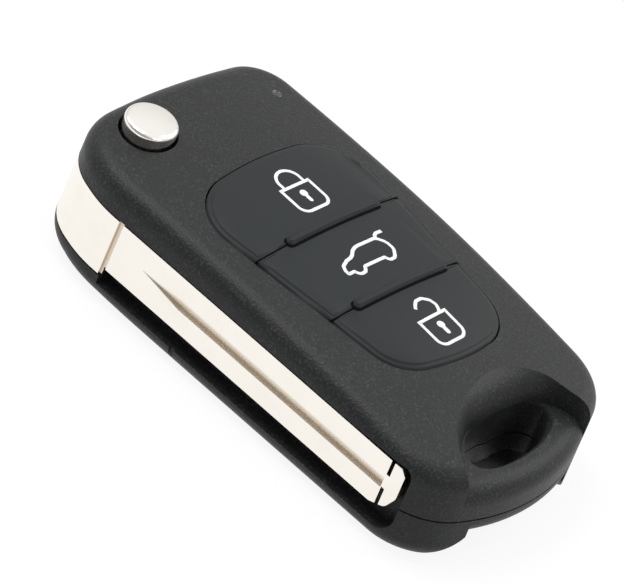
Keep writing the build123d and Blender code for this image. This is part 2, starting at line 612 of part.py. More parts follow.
# Keypad frame with the two ridges that stand between the keys
ridge_mid = (RIDGE_ENDS[0] + RIDGE_ENDS[1]) / 2
ridge_long = RIDGE_ENDS[1] - RIDGE_ENDS[0]
with BuildPart() as keypad_frame:
    with BuildSketch(Plane.XY.offset(FRAME_BOTTOM)):
        add(rounded(PAD, 1.15))
        with Locations(*POSTS):
            Circle(1.3)
        with Locations((0, NEAR - 15.6)):
            Rectangle(120, 40, mode=Mode.SUBTRACT)
        with BuildSketch(mode=Mode.PRIVATE) as windows:
            add(rounded(PAD, -1.2))
            for x in SLITS:
                with Locations((x, 0)):
                    Rectangle(3.0, 60, mode=Mode.SUBTRACT)
        add(windows.sketch, mode=Mode.SUBTRACT)
        with Locations(*SCREWS):
            Circle(2.35, mode=Mode.SUBTRACT)
        add(inner_plan, mode=Mode.INTERSECT)
    extrude(amount=FRAME_TOP - FRAME_BOTTOM)
    with BuildPart(mode=Mode.PRIVATE) as ridges:
        with BuildSketch(Plane.XY.offset(FRAME_BOTTOM)):
            with Locations(*[(x, ridge_mid) for x in SLITS]):
                SlotOverall(ridge_long, RIDGE_WIDTH, rotation=90)
        extrude(amount=12)
        add(arch(sum(SLITS) / 2, 1.2), mode=Mode.INTERSECT)
        chamfer(ridges.edges().filter_by(lambda e: e.bounding_box().min.Z > 17.5), 0.35)
    add(ridges.part)
save(keypad_frame.part, "keypad_frame")

# Remote keys: skin that follows the roof, flange under the shell, stem over the switch
bounds = (-30, SLITS[0], SLITS[1], 30)
for index, name in enumerate(("lock_key", "boot_key", "unlock_key")):
    west, east = bounds[index] + 0.12, bounds[index + 1] - 0.12
    middle = (max(west, PAD[0][0]) + min(east, PAD[2][0])) / 2
    with BuildSketch() as span:
        with Locations(((west + east) / 2, 0)):
            Rectangle(east - west, 60)
        with Locations(*[(x, ridge_mid) for x in SLITS]):
            SlotOverall(ridge_long + 2 * KEY_GAP, RIDGE_WIDTH + 2 * KEY_GAP, rotation=90, mode=Mode.SUBTRACT)
    with BuildSketch() as cap_plan:
        add(rounded(PAD))
        add(span.sketch, mode=Mode.INTERSECT)
    with BuildSketch() as flange_plan:
        add(rounded(PAD, 0.8))
        add(span.sketch, mode=Mode.INTERSECT)
        with Locations(*SCREWS):
            Circle(2.45, mode=Mode.SUBTRACT)
    with BuildPart() as key:
        add(prism(cap_plan.sketch, 10, TOP + 4))
        add(arch(middle, KEY_PROUD), mode=Mode.INTERSECT)
        chamfer(key.faces().sort_by(Axis.Z)[-1].edges(), 0.5)
        with BuildPart(mode=Mode.PRIVATE) as rim:
            add(prism(flange_plan.sketch, 10, TOP))
            add(arch(middle, -WALL - 0.2), mode=Mode.INTERSECT)
        add(rim.part)
        add(arch(middle, -WALL - 0.8), mode=Mode.SUBTRACT)
        with BuildPart(mode=Mode.PRIVATE) as hollow:
            with BuildSketch(Plane.XY.offset(10)):
                add(cap_plan.sketch)
                offset(amount=-1.2, kind=Kind.INTERSECTION)
            extrude(amount=20)
            add(arch(middle, -0.8), mode=Mode.INTERSECT)
        add(hollow.part, mode=Mode.SUBTRACT)
        x, y = list(SWITCHES.values())[index]
        with BuildPart(mode=Mode.PRIVATE) as stem:
            add(column(x, y, 1.6, STEM_BOTTOM, TOP))
            add(arch(middle, -0.4), mode=Mode.INTERSECT)
        add(stem.part)
    save(key.part, name)
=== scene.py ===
"""Finishes, printed signs and studio for a folding car key with three remote keys.

Everything is in metres in the frame of the CAD model: X along the key towards its ring, Z up.
"""
import logging
import math
from dataclasses import dataclass, field
from enum import Enum
from functools import cache
from typing import ClassVar, Mapping, Sequence

import bmesh
import bpy
import numpy as np
from bpy.types import ID, Material, Mesh, Node, NodeSocket, Object, World, bpy_prop_collection
from mathutils import Matrix, Vector


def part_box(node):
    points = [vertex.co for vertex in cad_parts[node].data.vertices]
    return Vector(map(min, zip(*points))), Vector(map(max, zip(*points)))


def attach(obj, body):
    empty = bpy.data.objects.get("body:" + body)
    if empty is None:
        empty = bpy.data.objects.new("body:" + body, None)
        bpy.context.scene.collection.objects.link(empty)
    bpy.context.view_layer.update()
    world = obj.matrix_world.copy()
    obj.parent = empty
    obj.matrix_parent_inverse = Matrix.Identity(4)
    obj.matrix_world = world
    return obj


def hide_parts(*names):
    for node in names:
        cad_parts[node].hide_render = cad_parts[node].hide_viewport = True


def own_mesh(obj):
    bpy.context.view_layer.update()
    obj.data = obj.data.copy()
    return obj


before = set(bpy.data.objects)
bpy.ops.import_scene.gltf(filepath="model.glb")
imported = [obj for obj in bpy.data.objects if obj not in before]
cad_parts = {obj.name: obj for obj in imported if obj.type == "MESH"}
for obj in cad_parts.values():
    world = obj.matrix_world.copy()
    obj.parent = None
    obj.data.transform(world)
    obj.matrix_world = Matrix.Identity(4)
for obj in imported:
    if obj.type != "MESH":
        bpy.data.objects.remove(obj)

log = logging.getLogger("flip_key")
MM = 0.001
MERGE = 1e-7  # corners of a CAD mesh's loose triangles are one below this distance
MEAN = 0.5  # mean of a noise pattern
TINY = 1e-9  # least length that a direction is divided by
ARC_POINTS = 9  # on each rounded corner of a sign's line
HALF_RUN = 0.49  # most of a run that one rounded corner takes up
FEWEST = 8  # least even steps along a line
NEAREST = 0.01  # millimetres under which two points of a line are one
PLACES = 4  # decimals by which distances along a line are told apart
Pair = tuple[float, float]
Colour = tuple[float, float, float]
Array = np.ndarray


class Channel:
    """One number in a material, with arithmetic that adds its Math nodes."""

    def __init__(self, wiring: "Wiring", socket: NodeSocket) -> None:
        """Wraps an output of a material's node."""
        self.wiring = wiring
        self.socket = socket

    def _maths(self, operation: str, left: object, right: object) -> "Channel":
        """Result of a new Math node on two numbers or channels."""
        node = self.wiring.node("ShaderNodeMath", {"operation": operation}, {0: left, 1: right})
        return Channel(self.wiring, node.outputs[0])

    def __add__(self, other: object) -> "Channel":
        """Sum."""
        return self._maths("ADD", self, other)

    def __sub__(self, other: object) -> "Channel":
        """Difference."""
        return self._maths("SUBTRACT", self, other)

    def __rsub__(self, other: object) -> "Channel":
        """Difference, number first."""
        return self._maths("SUBTRACT", other, self)

    def __mul__(self, other: object) -> "Channel":
        """Product."""
        return self._maths("MULTIPLY", self, other)

    __radd__, __rmul__ = __add__, __mul__  # their order makes no difference

    def above(self, limit: float) -> "Channel":
        """1 where the number is over the limit, else 0."""
        return self._maths("GREATER_THAN", self, limit)

    def most(self, other: object) -> "Channel":
        """The larger of two numbers."""
        return self._maths("MAXIMUM", self, other)

    def least(self, other: object) -> "Channel":
        """The smaller of two numbers."""
        return self._maths("MINIMUM", self, other)

    def rise(self, start: float, end: float) -> "Channel":
        """0 up to the start, 1 from the end on, and even between them."""
        return ((self - start) * (1.0 / (end - start))).most(0.0).least(1.0)

    def near(self, value: float, reach: float) -> "Channel":
        """1 at the value, falling to 0 at the reach on both sides."""
        return (1.0 - self._maths("ABSOLUTE", self - value, 0.0) * (1.0 / reach)).most(0.0)


class Wiring:
    """Builds the nodes of one material or of the world."""

    def __init__(self, owner: Material | World) -> None:
        """Empties the nodes of a material or the world.

        Args:
            owner: what the nodes belong to.
        """
        self.owner = owner
        owner.use_nodes = True
        self.tree = owner.node_tree
        self.tree.nodes.clear()
        coordinates = self.node("ShaderNodeTexCoord")
        self.place = coordinates.outputs["Object"]
        self.direction = coordinates.outputs["Generated"]

    @classmethod
    def material(cls, name: str) -> "Wiring":
        """Nodes of a new material."""
        return cls(bpy.data.materials.new(name))

    def node(
        self,
        kind: str,
        settings: Mapping[str, object] | None = None,
        values: Mapping[str | int, object] | None = None,
    ) -> Node:
        """Adds a node.

        Args:
            kind: the node's type.
            settings: attributes that are set first.
            values: inputs by name or number, each a value, a socket or a channel.

        Returns:
            The new node.
        """
        made = self.tree.nodes.new(kind)
        for key, value in (settings or {}).items():
            setattr(made, key, value)
        for key, value in (values or {}).items():
            source = value.socket if isinstance(value, Channel) else value
            if isinstance(source, NodeSocket):
                self.tree.links.new(source, made.inputs[key])
            elif made.inputs[key].type == "RGBA" and len(source) == 3:
                made.inputs[key].default_value = (*source, 1.0)
            else:
                made.inputs[key].default_value = source
        return made

    def noise(
        self, size: float, detail: float = 2.0, stretch: Sequence[float] = (1, 1, 1)
    ) -> Channel:
        """Smooth random pattern over the surface.

        Args:
            size: size of its lumps, in metres.
            detail: octaves of finer lumps.
            stretch: share of the size along X, Y and Z.

        Returns:
            A channel from 0 to 1.
        """
        scale = tuple(1.0 / s for s in stretch)
        at = self.node("ShaderNodeMapping", None, {"Vector": self.place, "Scale": scale}).outputs[0]
        values = {"Vector": at, "Scale": 1.0 / size, "Detail": detail}
        return Channel(self, self.node("ShaderNodeTexNoise", None, values).outputs[0])

    def part(self, vector: NodeSocket, axis: str) -> Channel:
        """X, Y or Z of a vector."""
        return Channel(self, self.node("ShaderNodeSeparateXYZ", None, {0: vector}).outputs[axis])

    def ray(self, kind: str) -> Channel:
        """1 for rays of a kind, else 0."""
        return Channel(self, self.node("ShaderNodeLightPath").outputs[f"Is {kind} Ray"])

    def seen(self) -> Channel:
        """1 for rays from the camera, from gloss and through glass, else 0."""
        return self.ray("Camera").most(self.ray("Glossy")).most(self.ray("Transmission"))

    def blend(self, mask: Channel | float, low: object, high: object) -> NodeSocket:
        """Colour between low and high by a mask."""
        mixer = self.node("ShaderNodeMix", {"data_type": "RGBA"}, {0: mask, 6: low, 7: high})
        return mixer.outputs[2]

    def swap(self, mask: Channel, plain: Node, shown: Node) -> NodeSocket:
        """Shader between plain and shown by a mask."""
        values = {0: mask, 1: plain.outputs[0], 2: shown.outputs[0]}
        return self.node("ShaderNodeMixShader", None, values).outputs[0]

    def bump(
        self, height: Channel, depth: float, strength: float = 1.0, **under: NodeSocket
    ) -> NodeSocket:
        """Normal that shows a pattern of a depth in metres, on the plain face or on a Normal."""
        values = {"Strength": strength, "Distance": depth, "Height": height, **under}
        return self.node("ShaderNodeBump", None, values).outputs["Normal"]

    def finish(self, values: Mapping[str | int, object]) -> Material:
        """Closes the material with a Principled shader.

        Args:
            values: the shader's inputs.

        Returns:
            The material.
        """
        surface = self.node("ShaderNodeBsdfPrincipled", None, values)
        self.node("ShaderNodeOutputMaterial", None, {"Surface": surface.outputs[0]})
        return self.owner


def shade(colour: Colour, factor: float) -> Colour:
    """Colour made lighter or darker by a factor."""
    return tuple(min(1.0, c * factor) for c in colour)


@dataclass(frozen=True)
class MouldedPlastic:
    """Plastic or rubber with a spark-eroded grain. Lengths in metres, as in every finish."""

    name: str
    colour: Colour
    roughness: float
    grain: float = 0.00036  # size of its lumps
    depth: float = 0.00008  # of the grain
    painted_sparkle: float = 4.5  # how much lighter the grain's tops are, a painted sparkle
    cloud: float = 0.08  # share of handling in the roughness
    gloss: float = 0.24  # strength of the shine
    scatter: float = 0.15  # share of the grain in the roughness
    wear_and_sparkle_patch: float = 0.009  # size of the patches that handling leaves in the gloss, which also hold the painted sparkle
    tops: Pair = (0.52, 0.75)  # grain heights between which a lump's top gets the painted sparkle

    def build(self) -> Material:
        """Grain as bump and a painted sparkle on its tops, with a slow change of gloss from
        handling.

        Returns:
            The material.
        """
        wiring = Wiring.material(self.name)
        grain, slow = wiring.noise(self.grain), wiring.noise(self.wear_and_sparkle_patch)
        # painted sparkle: the grain's tops made lighter, in the slow patches
        sparkle_mask = grain.rise(*self.tops) * slow
        rough = self.roughness + (slow - MEAN) * self.cloud + (grain - MEAN) * self.scatter
        return wiring.finish({
            "Base Color": wiring.blend(sparkle_mask, self.colour, shade(self.colour, self.painted_sparkle)),
            "Roughness": rough,
            "Specular IOR Level": self.gloss,
            "Normal": wiring.bump(grain, self.depth),
        })


@dataclass(frozen=True)
class PlatedMetal:
    """Plated or drawn metal with faint waves and hairlines."""

    name: str
    colour: Colour
    shadow: Colour  # colour of its dull patches
    roughness: float
    hairline: float = 0.1  # share of fine lines along X
    wave: float = 0.00002  # depth of the waves from casting
    line: float = 0.00025  # width of the hairlines
    drawn: float = 60  # their length in widths
    scratch: float = 0.000004  # their depth
    patch: float = 0.004  # size of the dull patches
    dull: Pair = (0.45, 1.5)  # where they start, and how fast they show
    smear: float = 0.08  # their share in the roughness
    ripple: float = 0.006  # size of the waves
    swell: float = 0.5  # strength of the waves

    def _lines(self, wiring: Wiring) -> tuple[Channel, NodeSocket]:
        """Hairlines along X, as a pattern and as a normal."""
        lines = wiring.noise(self.line, detail=3.0, stretch=(self.drawn, 1, 1))
        return lines, wiring.bump(lines, self.scratch, self.hairline)

    def _patches(self, wiring: Wiring) -> tuple[Channel, NodeSocket]:
        """Dull patches in the plating.

        Args:
            wiring: the material.

        Returns:
            The pattern and the colour.
        """
        patches = wiring.noise(self.patch, detail=3.0)
        start, gain = self.dull
        return patches, wiring.blend((patches - start) * gain, self.colour, self.shadow)

    def build(self) -> Material:
        """Hairlines in the roughness, dull patches in the colour, waves as bump.

        Returns:
            The material.
        """
        wiring = Wiring.material(self.name)
        lines, fine = self._lines(wiring)
        patches, plain = self._patches(wiring)
        waves = wiring.noise(self.ripple, detail=1.0)
        rough = self.roughness + (lines - MEAN) * self.hairline + (patches - MEAN) * self.smear
        return wiring.finish({
            "Base Color": plain,
            "Metallic": 1.0,
            "Roughness": rough,
            "Normal": wiring.bump(waves, self.wave, self.swell, Normal=fine),
        })


@dataclass(frozen=True)
class GroovedBlade(PlatedMetal):
    """Nickel blade and head, with painted shade in its milled groove and its seam by the head."""

    line: float = 0.00022
    painted_shade_colour: Colour = (0.66, 0.57, 0.45)  # painted shade colour in the cuts
    face: float = -0.020993  # the outer face's place along Y
    thick: float = 0.00235  # the blade's thickness
    # below a face, where the shade starts and is full
    depth: Pair = (0.00002, 0.00018)
    groove: Pair = (0.0087, 0.0107)  # heights that it lies between
    spill: float = 1.6  # reach of its shade, in halves of its height
    fade: float = 0.35  # share of that reach over which it fades
    run: Pair = (-0.0187, -0.0150)  # where its shade starts along X, and is full
    seam: float = -0.024435  # the seam's place along X
    gap: float = 0.0007  # reach of its shade
    soft: float = 0.25  # share of that reach over which it fades
    strength: float = 0.85  # mean strength of the shade
    streak: float = 0.2  # share of the hairlines in it
    coarse: float = 0.2  # roughness that it adds

    def build(self) -> Material:
        """Painted shade in the groove and the seam, which changes with the depth below either face.

        Returns:
            The material.
        """
        wiring = Wiring.material(self.name)
        lines, fine = self._lines(wiring)
        plain = self._patches(wiring)[1]
        x, y, z = (wiring.part(wiring.place, axis) for axis in "XYZ")
        outer = (y - self.face).rise(*self.depth)
        inner = (self.face + self.thick - y).rise(*self.depth)
        low, high = self.groove
        inside = z.near((low + high) / 2, (high - low) / 2 * self.spill).rise(0.0, self.fade)
        # painted shade in the groove and in the seam beside the head, streaked by the hairlines
        groove_shade = outer.least(inner) * inside * x.rise(*self.run)
        seam_shade = x.near(self.seam, self.gap).rise(0.0, self.soft) * outer
        painted_shade = groove_shade.most(seam_shade) * (self.strength + (lines - MEAN) * self.streak)
        return wiring.finish({
            "Base Color": wiring.blend(painted_shade, plain, self.painted_shade_colour),
            "Metallic": 1.0,
            "Roughness": self.roughness + (lines - MEAN) * self.hairline + painted_shade * self.coarse,
            "Normal": fine,
        })


@dataclass(frozen=True)
class SolderMask:
    """Circuit board: lacquer over copper tracks."""

    name: str
    lacquer: Colour  # over bare board
    track: Colour  # over copper
    pitch: float = 0.0012  # distance between tracks
    length: float = 5  # of a track, in pitches
    width: float = 0.00018  # of a track
    thick: float = 0.00004  # height of the tracks
    area: float = 0.006  # size of areas with tracks
    bare: float = 0.45  # height in their pattern up to which there are none
    roughness: float = 0.35
    speck: float = 0.0004  # size of the lacquer's specks
    scatter: float = 0.1  # their share in the roughness

    def build(self) -> Material:
        """Tracks from two sets of stripes that noise breaks up.

        Returns:
            The material.
        """
        wiring = Wiring.material(self.name)
        bricks = wiring.node("ShaderNodeTexBrick", {"offset": 0.5, "squash": 1.0}, {
            "Vector": wiring.place, "Scale": 1.0, "Mortar Size": self.width, "Mortar Smooth": 0.1,
            "Brick Width": self.pitch * self.length, "Row Height": self.pitch,
        })
        areas = wiring.noise(self.area, detail=1.0).above(self.bare)
        tracks = Channel(wiring, bricks.outputs["Fac"]) * areas
        return wiring.finish({
            "Base Color": wiring.blend(tracks, self.lacquer, self.track),
            "Roughness": self.roughness + (wiring.noise(self.speck) - MEAN) * self.scatter,
            "Normal": wiring.bump(tracks, self.thick),
        })


@dataclass(frozen=True)
class SignInk:
    """Screen-printed ink, slightly uneven."""

    name: str
    colour: Colour
    spot: float = 0.00012  # size of the thin spots
    thin: Pair = (0.6, 1.2)  # where they start, and how fast they show
    faded: float = 0.82  # brightness in them
    depth: float = 0.000008  # of the spots
    roughness: float = 0.5
    scatter: float = 0.2  # their share in the roughness

    def build(self) -> Material:
        """Ink that thins in tiny spots.

        Returns:
            The material.
        """
        wiring = Wiring.material(self.name)
        spots = wiring.noise(self.spot)
        start, gain = self.thin
        pale = shade(self.colour, self.faded)
        return wiring.finish({
            "Base Color": wiring.blend((spots - start) * gain, self.colour, pale),
            "Roughness": self.roughness + (spots - MEAN) * self.scatter,
            "Normal": wiring.bump(spots, self.depth),
        })


@dataclass(frozen=True)
class SmokedLens:
    """Dark clear plastic over the status light."""

    name: str
    colour: Colour
    glow: Colour  # colour of the light below
    cloud: float = 0.0008  # size of the patches that show it
    depth: float = 0.00001  # of the surface's waves
    roughness: float = 0.18
    scatter: float = 0.1  # share of the patches in the roughness
    coat: float = 0.6  # strength of the clear coat

    def build(self) -> Material:
        """Glossy dark plastic with a paler core.

        Returns:
            The material.
        """
        wiring = Wiring.material(self.name)
        core = wiring.noise(self.cloud, detail=1.0)
        return wiring.finish({
            "Base Color": wiring.blend(core, self.colour, self.glow),
            "Roughness": self.roughness + (core - MEAN) * self.scatter,
            "Coat Weight": self.coat,
            "Normal": wiring.bump(core, self.depth),
        })


class Finish(Enum):
    """Finishes of the key's pieces."""

    SHELL = MouldedPlastic("shell_grain", (0.021, 0.0218, 0.0225), 0.45)
    KEYPAD = MouldedPlastic(
        "keypad_rubber", (0.021, 0.0245, 0.0252), 0.5, 0.00016, 0.000006, 1.15, 0.04, 0.22
    )
    CHROME = PlatedMetal(
        "bright_plating", (0.93, 0.90, 0.85), (0.86, 0.82, 0.75), 0.12, 0.02, 0.000015
    )
    BLADE = GroovedBlade("nickel_blade", (0.94, 0.90, 0.83), (0.90, 0.84, 0.75), 0.14, 0.12)
    LENS = SmokedLens("light_guide", (0.012, 0.012, 0.0125), (0.022, 0.02, 0.02))
    TRAY = MouldedPlastic("tray_plastic", (0.02, 0.02, 0.021), 0.6, 0.0003)
    BOARD = SolderMask("board_lacquer", (0.015, 0.09, 0.035), (0.03, 0.17, 0.06))
    SWITCH = PlatedMetal("switch_can", (0.72, 0.71, 0.68), (0.55, 0.54, 0.52), 0.28)
    CHIP = MouldedPlastic("chip_body", (0.016, 0.016, 0.017), 0.5, 0.00015)
    CONTACT = PlatedMetal("contact_strip", (0.80, 0.72, 0.50), (0.62, 0.55, 0.38), 0.25)
    CELL = PlatedMetal("cell_can", (0.78, 0.77, 0.74), (0.62, 0.61, 0.58), 0.22)
    SCREW = PlatedMetal("black_screw", (0.22, 0.22, 0.22), (0.12, 0.12, 0.12), 0.35)
    SPRING = PlatedMetal("drawn_wire", (0.62, 0.61, 0.58), (0.45, 0.44, 0.42), 0.3)
    INK = SignInk("sign_ink", (1.0, 1.0, 1.0))

    @cache
    def material(self) -> Material:
        """The finish's material, made at its first use."""
        return self.value.build()

    def dress(self, piece: Object) -> None:
        """Gives a CAD node or a new piece this finish in every slot.

        Args:
            piece: the node or piece.
        """
        slots = piece.data.materials
        if len(slots) == 0:
            slots.append(self.material())
        for index in range(len(slots)):
            slots[index] = self.material()

    def dress_nodes(self, names: Sequence[str]) -> None:
        """Gives CAD nodes this finish.

        Args:
            names: the nodes.
        """
        for name in names:
            self.dress(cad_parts[name])
            log.info("node %s: %s", name, self.value.name)


def link(name: str, data: ID) -> Object:
    """Puts a new object into the scene.

    Args:
        name: its name.
        data: its mesh, lamp or camera.

    Returns:
        The object.
    """
    made = bpy.data.objects.new(name, data)
    bpy.context.scene.collection.objects.link(made)
    return made


def faced(name: str, points: Array, faces: Sequence[Array]) -> Mesh:
    """Mesh from arrays.

    Args:
        name: name of the mesh.
        points: points in the model's frame, one row each.
        faces: groups of faces, each with its corners' numbers in a row.

    Returns:
        The mesh.
    """
    mesh = bpy.data.meshes.new(name)
    mesh.from_pydata(points.tolist(), [], [face for group in faces for face in group.tolist()])
    mesh.validate()
    mesh.update()
    return mesh


def merged(node: str, name: str) -> Mesh:
    """Copy of a CAD node's mesh with the corners of its loose triangles merged.

    Args:
        node: the CAD node.
        name: name of the copy.

    Returns:
        The copy.
    """
    mesh = bpy.data.meshes.new(name)
    work = bmesh.new()
    work.from_mesh(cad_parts[node].data)
    bmesh.ops.remove_doubles(work, verts=work.verts, dist=MERGE)
    work.to_mesh(mesh)
    work.free()
    return mesh


def smooth(mesh: Mesh, crease: float = 180.0) -> None:
    """Smooths a mesh's faces, apart from edges that turn by more than the crease, in degrees."""
    mesh.polygons.foreach_set("use_smooth", np.ones(len(mesh.polygons), bool))
    mesh.set_sharp_from_angle(angle=math.radians(crease))


def dressed(mesh: Mesh, finish: Finish) -> Object:
    """New piece of a mesh, named as the mesh is.

    Args:
        mesh: the mesh, in the model's frame.
        finish: what it is made of.

    Returns:
        The piece.
    """
    piece = link(mesh.name, mesh)
    finish.dress(piece)
    log.info("piece %s: %d points, %d faces", mesh.name, len(mesh.vertices), len(mesh.polygons))
    return piece


def around(count: int) -> tuple[Array, Array]:
    """Numbers of the points round a ring, and of the point after each."""
    here = np.arange(count)
    return here, (here + 1) % count


def faces_of(*corners: Array | int) -> Array:
    """Faces from their first corners, their second corners and so on, one row each."""
    return np.stack(np.broadcast_arrays(*corners), axis=-1).reshape(-1, len(corners))


def unit(vectors: Array) -> Array:
    """Vectors brought to a length of 1."""
    return vectors / np.linalg.norm(vectors, axis=1)[:, None]


def left_of(vectors: Array) -> Array:
    """Flat vectors turned a quarter to the left."""
    return np.stack([-vectors[:, 1], vectors[:, 0]], axis=1)


def section_faces(count: int, closed: bool) -> Array:
    """Faces of a four-cornered section carried along a path.

    The points are four runs along the path, one for each corner of the section. A face joins a step
    of a run to the same step of the next run, and an open path's ends are closed.

    Args:
        count: points along the path.
        closed: whether it runs back to its start.

    Returns:
        Faces, one row each.
    """
    here, there = (numbers[: count if closed else count - 1] for numbers in around(count))
    runs = np.arange(4) * count
    faces = [
        faces_of(here + run, here + after, there + after, there + run)
        for run, after in zip(runs, np.roll(runs, -1))
    ]
    if not closed:
        faces += [runs[None, [0, 3, 2, 1]], runs[None] + count - 1]
    return np.concatenate(faces)


@dataclass
class Crown:
    """Double-curved top of the key: an arch across that follows an arc along.

    Sizes in millimetres from the drawing datum.
    """

    top: float = 20.2  # height of its peak
    peak_x: float = -24.6  # the peak's place along the key
    along: float = 490.0  # radius of the arc along
    across: float = 110.0  # radius of the arch across
    proud: float = 0.5  # how far the remote keys stand over it
    centre: Pair = (-0.235, -0.493)  # from the datum to the origin

    def height(self, x: Array, y: Array, middle: float) -> Array:
        """Top of a remote key: a cylinder that touches the roof's arc at the key's middle.

        It is the roof's height there, less the arc's slope times the distance along, less the
        arch's fall across.

        Args:
            x: positions along the key.
            y: positions across it.
            middle: where the cylinder touches the roof.

        Returns:
            Heights above the rest.
        """
        reach = middle - self.peak_x
        crest = self.top + self.proud + math.sqrt(self.along ** 2 - reach ** 2) - self.along
        tilt = math.asin(reach / self.along)
        radius = self.across + self.proud
        fall = radius - np.sqrt(radius ** 2 - y ** 2)
        return crest - (x - middle) * math.tan(tilt) - fall / math.cos(tilt)

    def roof(self, x: Array, y: Array) -> Array:
        """Height of the case's top: the arc along the key less the arch's fall across."""
        crest = self.top - self.along + np.sqrt(self.along ** 2 - (x - self.peak_x) ** 2)
        return crest - self.across + np.sqrt(self.across ** 2 - y ** 2)

    def place(self, x: Array, y: Array, z: Array) -> Array:
        """Points in metres in the model's frame."""
        return np.stack([x + self.centre[0], y + self.centre[1], z], axis=-1) * MM


CROWN = Crown()


def rounded_path(corners: Sequence[tuple[float, float, float]], closed: bool) -> Array:
    """Path along straight runs with rounded corners.

    Each corner's arc starts a tangent's length before it, the radius times the tangent of half the
    turn, and is swept about its centre as a sine-weighted mean of its two end radii.

    Args:
        corners: x, y and radius of each corner; the ends of an open path are used as they are.
        closed: whether the path runs back to its start.

    Returns:
        Points, one row each.
    """
    points = np.array([c[:2] for c in corners], float)
    runs: list[Array] = []
    count = len(corners)
    t = np.linspace(0, 1, ARC_POINTS)[:, None]
    for index, (_, _, radius) in enumerate(corners):
        here = points[index]
        if radius <= 0 or (not closed and index in (0, count - 1)):
            runs.append(here[None])
            continue
        before, after = points[index - 1] - here, points[(index + 1) % count] - here
        reach_before, reach_after = np.linalg.norm(before), np.linalg.norm(after)
        cosine = float(before @ after / (reach_before * reach_after))
        turn = math.pi - math.acos(max(-1.0, min(1.0, cosine)))
        tangent = min(
            radius * math.tan(turn / 2), reach_before * HALF_RUN, reach_after * HALF_RUN
        )
        start = here + before / reach_before * tangent
        end = here + after / reach_after * tangent
        centre = here + ((start + end) / 2 - here) / math.cos(turn / 2) ** 2
        swept = np.sin((1 - t) * turn) * (start - centre) + np.sin(t * turn) * (end - centre)
        runs.append(centre + swept / math.sin(turn))
    return np.concatenate(runs)


def ellipse_path(
    cx: float, cy: float, rx: float, ry: float, start: float, end: float, steps: int = 33
) -> Array:
    """Arc of an ellipse: the centre plus the radii times the cosine and sine of each degree."""
    angle = np.radians(np.linspace(start, end, steps))
    return np.stack([cx + rx * np.cos(angle), cy + ry * np.sin(angle)], axis=1)


def densify(path: Array, closed: bool, step: float = 0.12) -> Array:
    """Path with points at even steps, so that a print follows the curved key.

    Args:
        path: points, one row each.
        closed: whether it runs back to its start.
        step: longest step, in millimetres.

    Returns:
        Points, the corners kept.
    """
    ring = np.vstack([path, path[:1]]) if closed else path
    length = np.concatenate([[0.0], np.cumsum(np.linalg.norm(np.diff(ring, axis=0), axis=1))])
    even = np.linspace(0, length[-1], max(FEWEST, int(length[-1] / step)))
    at = np.unique(np.concatenate([even, length]).round(PLACES))
    made = np.stack([np.interp(at, length, ring[:, axis]) for axis in (0, 1)], axis=1)
    keep = np.concatenate([[True], np.linalg.norm(np.diff(made, axis=0), axis=1) > NEAREST])
    made = made[keep]
    return made[:-1] if closed else made


